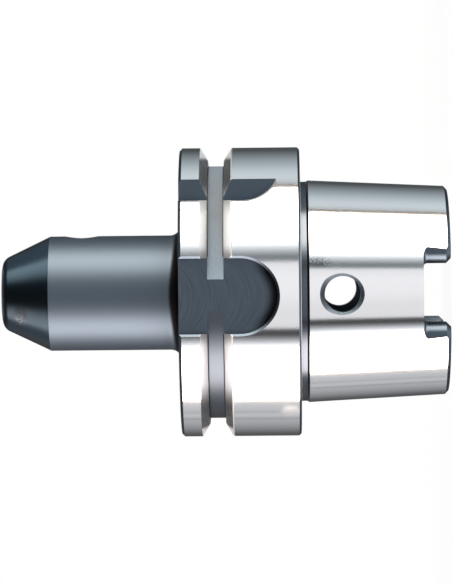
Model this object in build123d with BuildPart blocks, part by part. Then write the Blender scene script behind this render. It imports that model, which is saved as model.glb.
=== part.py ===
"""Side-lock end mill holder with a hollow taper shank.

The holder stands on the open end of its shank. +Z runs up its axis to the nose, the
narrower flange keyway faces -Y, and the clamping screw goes in from the +X side.
"""

from build123d import *
from math import radians, sqrt, tan
import os

# Lengths along the axis
shank_length = 32.0
flange_length = 26.0
gauge_length = 65.0

# Outside of the hollow taper shank
taper_gauge_d = 48.010
taper_gauge_depth = 6.3
taper_ratio = 9.98
neck_d = 47.9
neck_length = 1.3
neck_bevel = 0.5
face_relief_d = 49.4
face_relief_depth = 0.3
shank_end_bevel = 0.7

# Hollow of the shank
lead_bore_d = 34.0
lead_mouth_bevel = 0.6
clamp_groove_d = 37.0
clamp_groove_depth = 18.13
clamp_groove_length = 13.4
clamp_shoulder_angle = 30.0
seat_bore_d = 26.0
seat_length = 1.23

# Thread of the coolant tube, at its core diameter
tube_thread_d = 16.92
tube_thread_length = 11.0
tube_thread_bevel = 0.8

# Drive slots in the end of the shank
slot_width = 12.54
near_slot_depth = 5.9
far_slot_depth = 10.0
slot_flank_height = 2.15
slot_flare_r = 2.8
slot_corner_r = 1.0
slot_mouth_bevel = 1.0

# Cross holes for the clamping key
key_hole_d = 7.7
key_hole_depth = 8.85
key_hole_rim_d = 9.75

# Flange and its gripper groove
flange_d = 63.0
front_rim_bevel = 0.6
face_rim_bevel = 0.5
groove_depth = 18.15
groove_floor_d = 55.0
groove_floor_width = 3.5
groove_wall_d = 57.4
groove_flank_angle = 30.0
lip_bevel = 0.25
lip_angle = 60.0

# Keyways of the flange and the orientation notch
keyway_arc_depth = 13.0
near_keyway_width = 16.0
near_keyway_floor = 27.25
far_keyway_width = 18.0
far_keyway_floor = 26.5
notch_arc_depth = 12.3
notch_floor = 19.6
notch_wall = 20.18
notch_end_r = 8.0
keyway_bevel = 0.5

# Nose
nose_d = 25.0
nose_root_r = 2.4
nose_cone_length = 10.5
nose_cone_angle = 25.6
nose_tip_r = 2.5

# Tool bore and the coolant way behind it
tool_bore_d = 6.0
tool_bore_depth = 40.0
tool_bore_bevel = 0.5
coolant_d = 4.2
drill_point_angle = 118.0

# Clamping screw, at its thread's pitch diameter, and its hole
screw_thread_d = 5.35
screw_clearance = 0.04
screw_length = 8.0
screw_tip_gap = 0.2
screw_from_nose = 17.3
screw_rim_d = 7.3
screw_end_bevel = 0.6
socket_width = 3.0
socket_depth = 3.5

# Countersink at the rim of each cross hole
rim_angle = 90.0

# How far a cut runs past the surface that it opens
clear = 1.0

# Levels along the axis and radii that several features share
face_z = shank_length
front_z = face_z + flange_length
tip_z = face_z + gauge_length
flange_r = flange_d / 2
nose_r = nose_d / 2
bore_r = tool_bore_d / 2
lead_r = lead_bore_d / 2
key_hole_z = face_z - key_hole_depth
screw_z = tip_z - screw_from_nose


def taper_r(z):
    """Radius of the taper at a height."""
    return (taper_gauge_d - (face_z - z - taper_gauge_depth) / taper_ratio) / 2


def corner(radius, z):
    """Corner of the section in work that lies nearest to a radius and a height."""
    return vertices().sort_by_distance((radius, z))[0]


def point_length(radius):
    """Length of the cone that a drill leaves at the end of its hole."""
    return radius / tan(radians(drill_point_angle / 2))


# Turned blank: taper shank, flange and nose
neck_z = face_z - neck_length
taper_z = neck_z - neck_bevel
cone_z = tip_z - nose_cone_length
tip_r = nose_r - nose_cone_length * tan(radians(nose_cone_angle))

with BuildPart() as holder_body:
    with BuildSketch(Plane.XZ):
        with BuildLine():
            Polyline(
                (0, 0),
                (taper_r(0), 0),
                (taper_r(taper_z), taper_z),
                (neck_d / 2, neck_z),
                (neck_d / 2, face_z + face_relief_depth),
                (face_relief_d / 2, face_z),
                (flange_r, face_z),
                (flange_r, front_z),
                (nose_r, front_z),
                (nose_r, cone_z),
                (tip_r, tip_z),
                (0, tip_z),
                close=True,
            )
        make_face()
        chamfer(corner(taper_r(0), 0), shank_end_bevel)
        chamfer(corner(flange_r, face_z), face_rim_bevel)
        fillet(corner(nose_r, front_z), nose_root_r)
        fillet(corner(tip_r, tip_z), nose_tip_r)
    revolve(axis=Axis.Z)


# Gripper keyways and orientation notch, milled from the front with bevelled edges
def floor_plane(side, floor):
    """Plane of a flange cut's floor, at +Y or -Y, with its own Y up the holder's axis."""
    return Plane(origin=(0, side * floor, 0), x_dir=(-side, 0, 0), z_dir=(0, side, 0))


def open_slot(plane, centre_x, width, arc_depth):
    """Outline of a slot that is open to the nose and ends in a half circle at its foot."""
    arc_z = face_z + arc_depth
    run = front_z + clear - arc_z
    with BuildSketch(plane) as outline:
        with Locations((centre_x, arc_z)):
            Circle(width / 2)
        with Locations((centre_x, arc_z + run / 2)):
            Rectangle(width, run)
    return outline.sketch


def on_flange_rim(edge):
    """True for a cut's edge on the flange's outside, save the notch floor's own."""
    reach = min(Vector(v.X, v.Y).length for v in edge.vertices())
    sharp = abs(edge.center().Y + notch_floor) < 0.01 or edge.geom_type == GeomType.CIRCLE
    return reach > flange_r - 0.01 and not sharp


near_plane = floor_plane(-1, near_keyway_floor)
far_plane = floor_plane(1, far_keyway_floor)
notch_plane = floor_plane(-1, notch_floor)
notch_x = notch_wall + notch_end_r
near_keyway = open_slot(near_plane, 0, near_keyway_width, keyway_arc_depth)
far_keyway = open_slot(far_plane, 0, far_keyway_width, keyway_arc_depth)
notch = open_slot(notch_plane, notch_x, 2 * notch_end_r, notch_arc_depth)

with holder_body:
    for cut in (near_keyway, far_keyway, notch):
        extrude(cut, amount=flange_r, mode=Mode.SUBTRACT)
        chamfer(edges(Select.LAST).filter_by(on_flange_rim), keyway_bevel)


# Bevel of the front rim, which the keyways and the notch interrupt
with holder_body:
    with BuildSketch(Plane.XZ):
        with BuildLine():
            Polyline(
                (flange_r - front_rim_bevel - clear, front_z + clear),
                (flange_r + clear, front_z + clear),
                (flange_r + clear, front_z - front_rim_bevel - clear),
                close=True,
            )
        make_face()
    revolve(axis=Axis.Z, mode=Mode.SUBTRACT)


# Gripper groove, with straight walls at its floor, flanks that open outwards and a
# bevelled lip on the shank's side
groove_z = face_z + groove_depth
groove_floor_r = groove_floor_d / 2
groove_wall_r = groove_wall_d / 2
groove_half = groove_floor_width / 2
flank_slope = tan(radians(groove_flank_angle))
lip_slope = tan(radians(lip_angle))
mouth_half = groove_half + (flange_r - groove_wall_r) * flank_slope
lip_depth = lip_bevel / (lip_slope - flank_slope)

with holder_body:
    with BuildSketch(Plane.XZ):
        with BuildLine():
            Polyline(
                (groove_floor_r, groove_z + groove_half),
                (groove_wall_r, groove_z + groove_half),
                (flange_r + clear, groove_z + mouth_half + clear * flank_slope),
                (flange_r + clear, groove_z - mouth_half - lip_bevel - clear * lip_slope),
                (flange_r - lip_depth, groove_z - mouth_half + lip_depth * flank_slope),
                (groove_wall_r, groove_z - groove_half),
                (groove_floor_r, groove_z - groove_half),
                close=True,
            )
        make_face()
    revolve(axis=Axis.Z, mode=Mode.SUBTRACT)


# Hollow of the shank: lead bore, clamping groove, seat and thread of the coolant tube
clamp_r = clamp_groove_d / 2
seat_r = seat_bore_d / 2
thread_r = tube_thread_d / 2
clamp_z = face_z - clamp_groove_depth
shoulder_z = clamp_z - (clamp_r - lead_r) / tan(radians(clamp_shoulder_angle))
clamp_end_z = clamp_z + clamp_groove_length
seat_cone_z = clamp_end_z + (clamp_r - seat_r)
seat_z = seat_cone_z + seat_length
thread_end_z = seat_z + tube_thread_length
bore_end_z = tip_z - tool_bore_depth

with holder_body:
    with BuildSketch(Plane.XZ):
        with BuildLine():
            Polyline(
                (0, -clear),
                (lead_r + lead_mouth_bevel + clear, -clear),
                (lead_r, lead_mouth_bevel),
                (lead_r, shoulder_z),
                (clamp_r, clamp_z),
                (clamp_r, clamp_end_z),
                (seat_r, seat_cone_z),
                (seat_r, seat_z),
                (thread_r + tube_thread_bevel, seat_z),
                (thread_r, seat_z + tube_thread_bevel),
                (thread_r, thread_end_z),
                (0, thread_end_z + point_length(thread_r)),
                close=True,
            )
        make_face()
    revolve(axis=Axis.Z, mode=Mode.SUBTRACT)


# Tool bore from the nose, with the coolant way from its end into the hollow
with holder_body:
    with BuildSketch(Plane.XZ):
        with BuildLine():
            Polyline(
                (0, tip_z + clear),
                (bore_r + tool_bore_bevel + clear, tip_z + clear),
                (bore_r, tip_z - tool_bore_bevel),
                (bore_r, bore_end_z),
                (0, bore_end_z - point_length(bore_r)),
                close=True,
            )
        make_face()
    revolve(axis=Axis.Z, mode=Mode.SUBTRACT)
    with BuildSketch(Plane.XY.offset(thread_end_z)):
        Circle(coolant_d / 2)
    extrude(amount=bore_end_z - thread_end_z, mode=Mode.SUBTRACT)


# Drive slots, whose flanks turn aside in a round before they reach the taper
slot_half = slot_width / 2
flare_x = slot_half + slot_flare_r
flare_y = sqrt(lead_r**2 - slot_half**2) + slot_flank_height
flare_end_y = flare_y + slot_flare_r


def on_flank(edge):
    """True for a slot's edge that runs along a flank, its round or the wall beside it."""
    return slot_half - 0.01 < abs(edge.center().X) < flange_r - 0.01


def drive_slot(side, depth):
    """Solid to cut away for the drive slot at +Y or -Y, on a plate below the shank's end."""
    with BuildPart() as cutter:
        with BuildSketch():
            with BuildLine():
                Line((0, 0), (slot_half, 0))
                Line((slot_half, 0), (slot_half, flare_y))
                CenterArc((flare_x, flare_y), slot_flare_r, 180, -90)
                Line((flare_x, flare_end_y), (flange_r, flare_end_y))
                Line((flange_r, flare_end_y), (flange_r, flange_r))
                Line((flange_r, flange_r), (0, flange_r))
                mirror(about=Plane.YZ)
            make_face()
            if side < 0:
                mirror(about=Plane.XZ, mode=Mode.REPLACE)
        extrude(amount=depth)
        fillet(edges().filter_by(on_flank).group_by(Axis.Z)[-1], slot_corner_r)
        with BuildSketch():
            Rectangle(2 * flange_r, 2 * flange_r)
        extrude(amount=-clear)
        mouth = edges().filter_by_position(Axis.Z, -0.01, 0.01)
        chamfer(mouth.filter_by(on_flank), slot_mouth_bevel)
    return cutter.part


near_slot = drive_slot(-1, near_slot_depth)
far_slot = drive_slot(1, far_slot_depth)

with holder_body:
    add(near_slot, mode=Mode.SUBTRACT)
    add(far_slot, mode=Mode.SUBTRACT)


# Holes for the clamping key, through both walls of the shank
key_hole_wall = taper_r(key_hole_z)

with holder_body:
    for side in (-1, 1):
        with Locations(floor_plane(side, key_hole_wall)):
            with Locations((0, key_hole_z)):
                CounterSinkHole(key_hole_d / 2, key_hole_rim_d / 2, key_hole_wall, rim_angle)


# Threaded hole of the clamping screw, from +X into the tool bore
screw_r = screw_thread_d / 2
screw_plane = Plane(origin=(nose_r, 0, screw_z), x_dir=(0, 1, 0), z_dir=(1, 0, 0))

with holder_body:
    with Locations(screw_plane):
        CounterSinkHole(screw_r + screw_clearance, screw_rim_d / 2, nose_r, rim_angle)


# Clamping screw, backed off just far enough to clear the bore
screw_tip_x = bore_r + screw_tip_gap
screw_head_x = screw_tip_x + screw_length

with BuildPart() as clamping_screw:
    with BuildSketch(Plane.YZ.offset(screw_tip_x)):
        with Locations((0, screw_z)):
            Circle(screw_r)
    extrude(amount=screw_length)
    chamfer(edges().filter_by(GeomType.CIRCLE), screw_end_bevel)
    with BuildSketch(Plane.YZ.offset(screw_head_x)):
        with Locations((0, screw_z)):
            RegularPolygon(socket_width / 2, 6, major_radius=False)
    extrude(amount=-socket_depth, mode=Mode.SUBTRACT)

holder_body.part.label = "holder_body"
clamping_screw.part.label = "clamping_screw"

os.makedirs("parts", exist_ok=True)
export_step(holder_body.part, "parts/holder_body.step")
export_step(clamping_screw.part, "parts/clamping_screw.step")
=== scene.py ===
"""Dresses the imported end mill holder: studio, camera and steel finishes."""
from math import cos, pi, radians, sin
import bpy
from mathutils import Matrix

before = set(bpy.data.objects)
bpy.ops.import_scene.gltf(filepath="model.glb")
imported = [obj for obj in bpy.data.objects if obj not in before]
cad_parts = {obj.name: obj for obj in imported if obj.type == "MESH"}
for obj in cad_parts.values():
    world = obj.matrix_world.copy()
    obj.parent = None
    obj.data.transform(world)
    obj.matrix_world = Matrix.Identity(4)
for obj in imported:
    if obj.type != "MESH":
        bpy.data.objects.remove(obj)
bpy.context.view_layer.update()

from types import SimpleNamespace

import bpy
from mathutils import Matrix, Vector

mm = 0.001

# Sizes of the holder that its finishes follow, in millimetres. The heights (_z) run up the
# axis from the shank's open end.
shank_bevel_z = 0.7
taper_gauge_r = 24.005
taper_gauge_z = 25.7
taper_slope = 0.5 / 9.98
taper_end_z = 30.2
neck_z = 30.7
neck_r = 23.95
face_z = 32.0
face_inner_r = 24.7
face_bevel_z = 32.5
flange_r = 31.5
groove_z = 50.15
groove_floor_r = 27.5
groove_half = 1.75
groove_wall_r = 28.7
groove_rim_half = 3.617
flank_slope = 0.57735
lip_slope = 1.732
keyway_z = 45.0
keyway_half = 8.0
keyway_floor = 27.25
keyway_mill_r = 9.0
notch_x = 28.18
notch_z = 44.3
notch_end_r = 8.0
notch_floor_y = -19.55
front_bevel_z = 57.4
front_z = 58.0
root_end_r = 14.95
nose_r = 12.5
nose_cone_z = 86.5
tip_rim_z = 96.2
tip_rim_r = 6.25
tool_bore_r = 3.0
tube_thread_r = 8.46
tube_thread_z = 34.8
tube_thread_end_z = 45.0
screw_z = 79.7
screw_r = 2.675
screw_hole_r = 2.715
screw_hole_x = 3.1
screw_hole_end_x = 11.9
thread_pitch = 1.0


class Graph:
    """Builds a node tree. A value is a number, a colour or another node's output."""

    def __init__(self, tree):
        self.tree = tree
        tree.nodes.clear()

    def feed(self, socket, value):
        if isinstance(value, bpy.types.NodeSocket):
            self.tree.links.new(value, socket)
        elif value is not None:
            socket.default_value = value

    def add(self, kind, *values, out=0, **props):
        """Adds a node, feeds its first inputs, and returns one of its outputs."""
        node = self.tree.nodes.new(kind)
        for name, value in props.items():
            setattr(node, name, value)
        for socket, value in zip(node.inputs, values):
            self.feed(socket, value)
        return node.outputs[out] if node.outputs else None

    def math(self, operation, *values):
        return self.add("ShaderNodeMath", *values, operation=operation)

    def plus(self, a, b):
        return self.math("ADD", a, b)

    def minus(self, a, b):
        return self.math("SUBTRACT", a, b)

    def times(self, first, *rest):
        for factor in rest:
            first = self.math("MULTIPLY", first, factor)
        return first

    def vector(self, operation, *values):
        """Vector math that gives a vector, or a number for a length or a dot product."""
        out = "Value" if operation in ("LENGTH", "DOT_PRODUCT") else "Vector"
        return self.add("ShaderNodeVectorMath", *values, operation=operation, out=out)

    def combine(self, *parts):
        return self.add("ShaderNodeCombineXYZ", *parts)

    def separate(self, vector):
        node = self.tree.nodes.new("ShaderNodeSeparateXYZ")
        self.feed(node.inputs[0], vector)
        return tuple(node.outputs)

    def length(self, *parts):
        """Length of a vector given by its parts."""
        return self.vector("LENGTH", self.combine(*parts))

    def fade(self, value, low, high, to_low=0.0, to_high=1.0, kind="SMOOTHSTEP"):
        """Goes from to_low to to_high as value goes from low to high."""
        return self.add("ShaderNodeMapRange", value, low, high, to_low, to_high,
                        interpolation_type=kind)

    def choose(self, mask, off, on):
        """Number off where mask is 0 and on where it is 1."""
        return self.fade(mask, 0.0, 1.0, off, on)

    def over(self, value, limit, soft):
        """1 where value is over limit, and 0 where it is under, with a soft step."""
        return self.fade(value, limit - soft, limit + soft)

    def under(self, value, limit, soft):
        """1 where value is under limit, and 0 where it is over, with a soft step."""
        return self.fade(value, limit - soft, limit + soft, 1.0, 0.0)

    def between(self, value, low, high, soft):
        """1 where value lies between low and high, with soft steps."""
        return self.times(self.over(value, low, soft), self.under(value, high, soft))

    def near(self, value, target, reach):
        """1 where value lies close to target, and 0 from reach away."""
        gap = self.math("ABSOLUTE", self.minus(value, target))
        return self.fade(gap, reach, 0.6 * reach)

    def either(self, *masks):
        """The largest of some masks."""
        result = masks[0]
        for mask in masks[1:]:
            result = self.math("MAXIMUM", result, mask)
        return result

    def mix(self, factor, a, b):
        """Number, colour or vector a where factor is 0 and b where it is 1."""
        node = self.tree.nodes.new("ShaderNodeMix")
        node.data_type = "RGBA"
        # A mix node has inputs 6 and 7 and output 2 for colours
        for socket, value in zip((node.inputs[0], node.inputs[6], node.inputs[7]), (factor, a, b)):
            self.feed(socket, value)
        return node.outputs[2]

    def ramp(self, value, low, high, stops):
        """Colour ramp through (place, colour or grey level) stops between low and high."""
        node = self.tree.nodes.new("ShaderNodeValToRGB")
        elements = node.color_ramp.elements
        while len(elements) < len(stops):
            elements.new(0.5)
        for element, (place, shade) in zip(elements, stops):
            element.position = (place - low) / (high - low)
            element.color = (*shade, 1.0) if isinstance(shade, tuple) else (shade,) * 3 + (1.0,)
        self.feed(node.inputs[0], self.fade(value, low, high, kind="LINEAR"))
        return node.outputs[0]

    def noise(self, place, scale):
        """Noise from 0 to 1."""
        return self.add("ShaderNodeTexNoise", place, None, scale, 3.0)


# Brightness around the holder at its own height, by the angle in degrees from the
# camera's side. The right-hand angles turn towards the clamping screw.
left_wall = [
    (-180, 0.90), (-177, 0.45), (-173, 0.10), (-160, 0.09), (-150, 0.14), (-137, 0.31),
    (-123, 0.49), (-121, 0.49), (-119.7, 0.28), (-118.3, 0.52), (-113, 0.66), (-110, 0.48),
    (-107, 0.60), (-100, 0.66), (-94.0, 0.62), (-92.5, 9.0), (-56, 9.2), (-46, 3.4),
    (-42, 1.3), (-38, 0.6), (-34.5, 0.18), (-32.5, 0.04), (-28.2, 0.04), (-27.0, 0.92),
    (-13, 0.92), (0, 1.04),
]
right_wall = [
    (0, 1.04), (14, 1.06), (24.4, 0.98), (26.2, 0.26), (29.5, 0.20), (33, 0.50), (37, 0.90),
    (41, 1.6), (46, 3.6), (54, 9.0), (90.8, 8.8), (91.6, 0.02), (94.8, 0.06), (98.0, 0.62),
    (103, 0.77), (108, 0.76), (114, 0.69), (124, 0.50), (136, 0.31), (148, 0.16), (156, 0.09),
    (173, 0.08), (177, 0.45), (180, 0.90),
]
# A ramp holds levels up to 1, so the walls go in as shares of this brightness
brightest = 10.0
# Tint of the light, by the same angle
wall_tints = [
    (-180, (0.97, 1.0, 1.05)), (-98, (0.99, 1.0, 1.03)), (-95, (1.20, 1.0, 0.91)),
    (-48, (1.20, 1.0, 0.91)), (-40, (0.95, 1.0, 1.05)), (-26, (1.0, 0.99, 1.01)),
    (24, (1.0, 0.99, 1.01)), (27, (0.90, 1.0, 1.07)), (38, (0.94, 1.0, 1.03)),
    (50, (1.15, 1.0, 0.87)), (94, (1.15, 1.0, 0.87)), (97, (0.93, 1.0, 1.03)),
    (125, (0.86, 0.99, 1.07)), (180, (0.90, 0.99, 1.04)),
]
# Share of the walls' brightness by the height of the line of sight, in degrees
front_shares = [(-90, 0.5), (-60, 0.6), (-35, 1.0), (22, 1.0), (38, 0.12), (48, 0.01), (90, 0.01)]
side_shares = [(-90, 0.3), (-60, 0.35), (-35, 1.0), (24, 1.0), (36, 0.42), (49, 0.16), (56, 0.01),
               (90, 0.0)]
# Lamps above the nose and below the shank, both behind the holder, and one straight below:
# the direction, the cosines where the lamp ends and is full, and its brightness
lamps = [
    ((0.0, 0.5, 0.866), 0.88, 0.93, 1.05),
    ((0.0, 0.5, -0.866), 0.88, 0.93, 1.05),
    ((0.0, 0.0, -1.0), 0.75, 0.95, 1.4),
]


def studio(world):
    """White to the camera, and softboxes with dark gaps between them to the metal."""
    world.use_nodes = True
    g = Graph(world.node_tree)
    direction = g.add("ShaderNodeTexCoord", out="Generated")
    x, y, z = g.separate(direction)
    turn = g.times(g.math("ARCTAN2", x, g.times(y, -1.0)), 180 / pi)
    height = g.times(g.math("ARCSINE", z), 180 / pi)
    left = g.ramp(turn, -180, 0, [(angle, level / brightest) for angle, level in left_wall])
    right = g.ramp(turn, 0, 180, [(angle, level / brightest) for angle, level in right_wall])
    wall = g.mix(g.math("GREATER_THAN", turn, 0.0), left, right)
    at_side = g.fade(g.math("ABSOLUTE", turn), 30, 46)
    share = g.mix(at_side, g.ramp(height, -90, 90, front_shares),
                  g.ramp(height, -90, 90, side_shares))
    level = g.times(wall, share, brightest)
    for towards, rim, full, power in lamps:
        lean = g.vector("DOT_PRODUCT", direction, towards)
        level = g.either(level, g.fade(lean, rim, full, 0.0, power))
    light = g.add("ShaderNodeBackground", g.ramp(turn, -180, 180, wall_tints), level)
    backdrop = g.add("ShaderNodeBackground", (1.0, 1.0, 1.0, 1.0), 1.0)
    seen = g.add("ShaderNodeLightPath", out="Is Camera Ray")
    g.add("ShaderNodeOutputWorld", g.add("ShaderNodeMixShader", seen, light, backdrop))


scene = bpy.context.scene
scene.world = bpy.data.worlds.new("studio")
studio(scene.world)
scene.view_settings.view_transform = "Standard"


def floor_finish():
    """Pale, nearly white to the camera, with a faint shadow close to the holder."""
    material = bpy.data.materials.new("floor_paper")
    material.use_nodes = True
    g = Graph(material.node_tree)
    metres_away = g.vector("LENGTH", g.add("ShaderNodeTexCoord", out="Object"))
    shadow = g.fade(metres_away, 0.06, 0.22, 0.05, 0.0)
    paper = g.add("ShaderNodeBsdfDiffuse", (0.8, 0.8, 0.8, 1.0))
    white = g.add("ShaderNodeEmission", (1.0, 1.0, 1.0, 1.0), 1.0)
    shown = g.add("ShaderNodeMixShader", shadow, white, paper)
    seen = g.add("ShaderNodeLightPath", out="Is Camera Ray")
    g.add("ShaderNodeOutputMaterial", g.add("ShaderNodeMixShader", seen, paper, shown))
    return material


bpy.ops.mesh.primitive_plane_add(size=3.0, location=(0, 0, 0))
floor = bpy.context.object
floor.name = "studio_floor"
floor.data.materials.append(floor_finish())
floor.visible_glossy = False

# The photograph looks at the holder from a little above the contact face's level, a
# little round towards the screw, with the nose to its left and a slight roll.
camera_distance = 800 * mm
camera_height = 38.28 * mm
camera_turn = radians(1.7)
camera_roll = radians(0.55)
aim_height = 48.25 * mm
aim_side = 0.016 * mm
frame_long_side = 36.0
focal_length = 225.5

camera = bpy.data.objects.new("camera", bpy.data.cameras.new("camera"))
scene.collection.objects.link(camera)
scene.camera = camera
camera.data.lens = focal_length
camera.data.sensor_width = frame_long_side
camera.data.sensor_fit = "AUTO"
side = Vector((cos(camera_turn), sin(camera_turn), 0))
back = Vector((sin(camera_turn), -cos(camera_turn), 0))
spot = back * camera_distance + Vector((0, 0, camera_height))
ahead = (side * aim_side + Vector((0, 0, aim_height)) - spot).normalized()
up = side * cos(camera_roll) - Vector((0, 0, 1)) * sin(camera_roll)
right = ahead.cross(up).normalized()
up = right.cross(ahead)
camera.matrix_world = Matrix.Translation(spot) @ Matrix((right, up, -ahead)).transposed().to_4x4()

# Ground steel: most of it, the darker grain, the notch's bevel, and the groove's flanks at
# the wall, at the rim and beside the keyways, with painted shade on their near side
ground_steel = (0.80, 0.81, 0.82, 1.0)
grain_steel = (0.60, 0.61, 0.62, 1.0)
notch_bevel_steel = (0.52, 0.54, 0.57, 1.0)
flank_steel = (0.76, 0.79, 0.81, 1.0)
flank_rim_steel = (0.83, 0.87, 0.91, 1.0)
flank_keyway_steel = (0.34, 0.36, 0.39, 1.0)
stained_steel = (0.088, 0.104, 0.115, 1.0)
# Black oxide: most of it, then by surface
black_oxide = (0.066, 0.088, 0.112, 1.0)
keyway_light_oxide = (0.076, 0.098, 0.122, 1.0)
keyway_dark_oxide = (0.064, 0.083, 0.104, 1.0)
groove_oxide = (0.068, 0.084, 0.102, 1.0)
neck_oxide = (0.080, 0.097, 0.116, 1.0)
nose_oxide = (0.074, 0.098, 0.124, 1.0)
cone_oxide = (0.051, 0.077, 0.100, 1.0)
# The cone's screw side is painted bluer and a little lighter, for the tint of the light there
cone_screw_side_oxide = (0.050, 0.086, 0.122, 1.0)
screw_oxide = (0.026, 0.030, 0.036, 1.0)
# Black for painted shade: in the groove's corners, at the neck's edge, in the nose's root, on its
# tip's rim and at the near keyway's round end
bare_black = (0.006, 0.006, 0.007, 1.0)
# The groove's floor from cut_floor_x on, where it is left as cut: its colour, and painted
# light and shade by x, lighter towards both ends
cut_floor_x = 3.5
cut_steel = (0.112, 0.153, 0.190)
cut_shares = [(4.0, 1.75), (17.0, 0.70), (27.0, 1.10)]
# Roughness by surface
mirror_rough = 0.11
neck_rough = 0.22
cone_rough = 0.25
oxide_rough = 0.36
screw_rough = 0.38
ground_rough = 0.42
nose_rough = 0.49
flank_rough = 0.58
cut_floor_rough = 0.6
# Marks of use: where their middles are, in millimetres, and their colours. The blotch on the
# land only makes it duller. The flanks' painted shade lies on their near side between two
# distances from the middle.
cone_smudge = (-4.1, -8.6, 92.6)
cone_smudge_color = (0.034, 0.031, 0.038, 1.0)
cone_rub = (-5.5, -7.8, 92.9)
cone_rub_color = (0.15, 0.160, 0.19, 1.0)
taper_smudge = (6.8, -23.0, 28.6)
taper_smudge_stretch = (2.6, 0.5, 1.0)
taper_smudge_color = (0.30, 0.32, 0.34, 1.0)
land_blotch = (-25.2, -18.9, 34.4)
land_blotch_rough = 0.24
stain_x = 21.5
stain_end_x = 29.1


class Finish(Graph):
    """A metal whose shader reads the place on its node in millimetres."""

    def __init__(self, name):
        self.material = bpy.data.materials.new(name)
        self.material.use_nodes = True
        super().__init__(self.material.node_tree)
        metres = self.add("ShaderNodeTexCoord", out="Object")
        self.place = self.vector("MULTIPLY", metres, (1 / mm, 1 / mm, 1 / mm))
        self.x, self.y, self.z = self.separate(self.place)
        self.r = self.length(self.x, self.y)

    def away(self, point, stretch=(1.0, 1.0, 1.0)):
        """Distance from a point, with each axis stretched by its own factor."""
        return self.vector("LENGTH", self.vector("MULTIPLY", stretch,
                                                 self.vector("SUBTRACT", self.place, point)))

    def thread(self, a, b, along):
        """Height of a thread round the axis that a and b are measured from."""
        turn = self.times(self.math("ARCTAN2", a, b), 0.5 / pi)
        return self.math("PINGPONG", self.plus(self.times(along, 1 / thread_pitch), turn), 0.5)

    def bump(self, height, depth, normal=None):
        """Normal of a surface that rises by depth millimetres where height is 1."""
        node = self.tree.nodes.new("ShaderNodeBump")
        node.inputs["Distance"].default_value = depth * mm
        self.feed(node.inputs["Height"], height)
        self.feed(node.inputs["Normal"], normal)
        return node.outputs[0]

    def finish(self, color, rough, normal, metallic=1.0):
        shader = self.tree.nodes.new("ShaderNodeBsdfPrincipled")
        self.feed(shader.inputs["Metallic"], metallic)
        self.feed(shader.inputs["Base Color"], color)
        self.feed(shader.inputs["Roughness"], rough)
        self.feed(shader.inputs["Normal"], normal)
        self.add("ShaderNodeOutputMaterial", shader.outputs[0])
        return self.material


def turned_normal(g):
    """Normal of a perfectly round taper, and of a cylinder above it."""
    slope = g.fade(g.z, face_z - 1.0, face_z - 0.5, -taper_slope, 0.0)
    radial = g.combine(g.x, g.y, g.times(g.r, slope))
    return g.vector("NORMALIZE", g.add("ShaderNodeVectorTransform", radial, vector_type="NORMAL",
                                       convert_from="OBJECT", convert_to="WORLD"))


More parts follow.
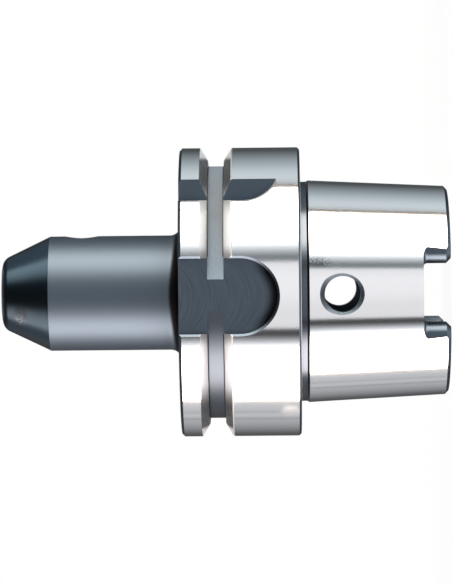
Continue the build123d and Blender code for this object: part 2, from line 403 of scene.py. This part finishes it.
def holder_places(g, outward):
    """Masks that are each 1 on one surface. outward is 1 on surfaces turned round the axis."""
    on = SimpleNamespace()
    x, y, z, r = g.x, g.y, g.z, g.r
    aside = g.math("ABSOLUTE", x)
    from_groove = g.math("ABSOLUTE", g.minus(z, groove_z))

    taper_r = g.math("MULTIPLY_ADD", g.minus(z, taper_gauge_z), taper_slope, taper_gauge_r)
    on.taper = g.times(g.over(g.minus(r, taper_r), -0.16, 0.04), outward,
                       g.between(z, shank_bevel_z, taper_end_z, 0.02))
    on.neck = g.times(g.between(z, neck_z, face_z, 0.05),
                      g.between(r, neck_r - 0.4, neck_r + 0.4, 0.05))
    # Painted shade: a black line where the taper meets the neck
    on.neck_edge = g.times(g.between(z, taper_end_z, neck_z, 0.02),
                           g.over(r, neck_r - 0.02, 0.03), g.under(r, neck_r + 0.4, 0.05))
    on.face = g.times(g.over(r, face_inner_r - 0.1, 0.1), g.near(z, face_z, 0.06))
    on.land = g.times(g.over(r, flange_r - 0.16, 0.04), outward,
                      g.between(z, face_bevel_z, front_bevel_z, 0.02))

    on.groove_floor = g.times(g.near(r, groove_floor_r, 0.08),
                              g.under(from_groove, groove_half - 0.005, 0.015))
    on.cut_floor = g.times(on.groove_floor, g.over(x, cut_floor_x, 0.1))
    # Painted shade along the groove floor's corners, away from the keyways
    on.groove_corner = g.times(on.groove_floor, g.over(aside, keyway_half + 0.2, 0.2),
                               g.over(from_groove, groove_half - 0.2, 0.06))
    flank_z = g.math("MULTIPLY_ADD", g.minus(r, groove_wall_r), flank_slope, groove_half)
    on.flank = g.times(g.near(from_groove, flank_z, 0.08), g.over(r, groove_wall_r + 0.05, 0.05))
    # Painted shade on the flanks, on their near side away from the middle
    on.stain = g.times(g.over(aside, stain_x, 2.7), g.under(aside, stain_end_x, 0.5),
                       g.under(y, -1.0, 1.0))
    lip_z = g.math("MULTIPLY_ADD", g.minus(r, flange_r), lip_slope, groove_rim_half)
    on.lower_lip = g.times(g.near(from_groove, lip_z, 0.10), g.over(r, flange_r - 0.325, 0.025),
                           g.under(z, groove_z - 0.5, 0.5))

    # The floors of both keyways, of which the far one is slightly deeper and wider
    floor_gap = g.math("ABSOLUTE", g.minus(g.math("ABSOLUTE", y), keyway_floor))
    on.keyway = g.times(g.under(floor_gap, 0.8, 0.05), g.under(aside, keyway_half + 1.1, 0.1))
    above_keyway = g.minus(z, keyway_z)
    # Painted shade on the near keyway's floor towards its round end
    on.keyway_foot = g.times(on.keyway, g.under(y, -0.5, 0.5),
                             g.over(g.length(x, above_keyway), 6.4, 1.2),
                             g.under(above_keyway, -4.1, 1.9))
    below_notch = g.math("MINIMUM", g.minus(z, notch_z), 0.0)
    beyond_notch = g.minus(g.length(g.minus(x, notch_x), below_notch), notch_end_r)
    on.notch_bevel = g.times(g.over(beyond_notch, 0.04, 0.02), g.under(beyond_notch, 0.75, 0.05),
                             g.over(r, flange_r - 0.95, 0.05), g.under(y, notch_floor_y, 0.25),
                             g.under(z, front_bevel_z - 0.05, 0.05), g.under(outward, 0.5, 0.5))

    # The shade in the nose's root reaches highest at the holder's front and back
    rise = g.times(g.math("POWER", g.times(g.math("ABSOLUTE", y), 1 / nose_r), 4.0), 1.2)
    on.root = g.times(g.under(g.minus(z, rise), front_z + 1.25, 0.45),
                      g.under(r, root_end_r, 0.15), g.over(z, front_z - 0.05, 0.05))
    # Painted shade on the rounded rim of the nose's tip
    on.tip = g.times(g.over(z, tip_rim_z, 0.15), g.over(r, tip_rim_r, 0.35))
    on.tool_bore = g.times(g.under(r, tool_bore_r + 0.035, 0.015), g.over(z, front_z - 0.5, 0.5))

    on.mirror = g.either(on.taper, on.land)
    on.ground = g.either(on.mirror, on.face, on.flank, on.lower_lip, on.tool_bore,
                         on.notch_bevel)
    return on


def oxide_color(g, on, specks):
    """Black oxide, the groove's floor as cut, and black painted shade in corners and at edges."""
    x, y, z = g.x, g.y, g.z
    # The keyways' floors show the arcs that the end mill left
    arc = g.math("SQRT", g.math("MAXIMUM", g.minus(keyway_mill_r ** 2, g.times(x, x)), 0.0))
    passes = g.noise(g.combine(g.plus(z, arc), g.times(x, 0.06)), 2.2)
    keyway = g.mix(g.fade(passes, 0.35, 0.65), keyway_light_oxide, keyway_dark_oxide)
    color = g.mix(on.keyway, black_oxide, keyway)

    color = g.mix(g.fade(z, front_z, front_z + 1.0), color, nose_oxide)
    # Painted tint of the light: the cone is bluer on the screw side
    cone = g.mix(g.fade(x, -2.0, 2.0), cone_oxide, cone_screw_side_oxide)
    color = g.mix(g.fade(z, nose_cone_z, nose_cone_z + 0.1), color, cone)
    color = g.mix(g.either(on.root, on.tip), color, bare_black)
    color = g.mix(g.times(g.fade(g.away(cone_smudge), 2.0, 0.8), g.fade(specks, 0.40, 0.60)),
                  color, cone_smudge_color)
    color = g.mix(g.times(g.fade(g.away(cone_rub), 2.0, 0.6), g.fade(specks, 0.44, 0.62)),
                  color, cone_rub_color)

    color = g.mix(on.neck, color, neck_oxide)
    color = g.mix(on.groove_floor, color, groove_oxide)
    color = g.mix(on.keyway_foot, color, bare_black)
    # The floor as cut, with painted light and shade along it
    cut = g.ramp(x, 3.0, 28.0, [(place, tuple(share * level for level in cut_steel))
                                for place, share in cut_shares])
    color = g.mix(g.times(on.cut_floor, g.fade(specks, 0.30, 0.42, 0.65, 1.0)), color, cut)
    return g.mix(g.either(on.neck_edge, on.groove_corner), color, bare_black)


def holder_color(g, on, specks):
    """Bright where the holder is ground, with its marks of use and painted shade on the flanks,
    and oxide elsewhere.
    """
    color = g.mix(on.ground, oxide_color(g, on, specks), ground_steel)
    color = g.mix(on.notch_bevel, color, notch_bevel_steel)
    flank = g.mix(g.fade(g.r, groove_wall_r + 0.1, flange_r - 0.5), flank_steel, flank_rim_steel)
    flank = g.mix(g.fade(g.math("ABSOLUTE", g.x), keyway_half + 3.0, keyway_half + 0.4),
                  flank, flank_keyway_steel)
    # The flanks' painted shade, mottled by the specks
    stain = g.times(on.stain, g.fade(specks, 0.3, 0.6, 0.8, 1.0))
    color = g.mix(on.flank, color, g.mix(stain, flank, stained_steel))

    # The grain's fine lines run round the axis
    lines = g.noise(g.vector("MULTIPLY", g.place, (0.8, 0.8, 9.0)), 1.0)
    color = g.mix(g.times(on.ground, g.fade(lines, 0.4, 0.7, 0.0, 0.06)), color, grain_steel)
    smudge = g.fade(g.away(taper_smudge, taper_smudge_stretch), 4.0, 1.2, 0.0, 0.9)
    return g.mix(g.times(on.taper, smudge, g.fade(specks, 0.35, 0.55)), color, taper_smudge_color)


def holder_rough(g, on):
    """Roughness of the oxide and of the ground steel."""
    oxide = g.choose(on.neck, oxide_rough, neck_rough)
    oxide = g.fade(g.z, front_z, front_z + 1.0, oxide, nose_rough)
    oxide = g.fade(g.z, nose_cone_z, nose_cone_z + 0.1, oxide, cone_rough)
    oxide = g.choose(on.cut_floor, oxide, cut_floor_rough)
    mirror = g.fade(g.away(land_blotch), 3.2, 1.4, mirror_rough, land_blotch_rough)
    ground = g.choose(on.mirror, g.choose(on.flank, ground_rough, flank_rough), mirror)
    return g.mix(on.ground, oxide, ground)


def holder_threads(g):
    """Heights of the coolant tube's thread and the clamping screw's."""
    tube = g.times(g.near(g.r, tube_thread_r, 0.1),
                   g.between(g.z, tube_thread_z, tube_thread_end_z, 0.05))
    up = g.minus(g.z, screw_z)
    screw = g.times(g.near(g.length(g.y, up), screw_hole_r, 0.08),
                    g.between(g.x, screw_hole_x, screw_hole_end_x, 0.1))
    return g.plus(g.times(tube, g.thread(g.x, g.y, g.z)),
                  g.times(screw, g.thread(g.y, up, g.x)))


def holder_finish():
    """Ground steel and blue-black oxide. The mirror-bright surfaces take perfectly round
    normals, so that no facet shows in them."""
    g = Finish("holder_steel")
    turned = turned_normal(g)
    own = g.add("ShaderNodeNewGeometry", out="Normal")
    on = holder_places(g, g.fade(g.vector("DOT_PRODUCT", own, turned), 0.94, 0.98))
    specks = g.noise(g.place, 2.6)
    normal = g.bump(holder_threads(g), 0.5, g.mix(on.mirror, own, turned))
    normal = g.bump(specks, 0.004, normal)
    return g.finish(holder_color(g, on, specks), holder_rough(g, on), normal,
                    g.choose(on.cut_floor, 1.0, 0.0))


def screw_finish():
    """Black oxide, with a fine thread."""
    g = Finish("screw_steel")
    up = g.minus(g.z, screw_z)
    thread = g.times(g.over(g.length(g.y, up), screw_r - 0.075, 0.05), g.thread(g.y, up, g.x))
    return g.finish(screw_oxide, screw_rough, g.bump(thread, 0.5))


def dress(node, material):
    """Gives a CAD node its finish."""
    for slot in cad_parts[node].material_slots:
        slot.material = material


dress("holder_body", holder_finish())
dress("clamping_screw", screw_finish())
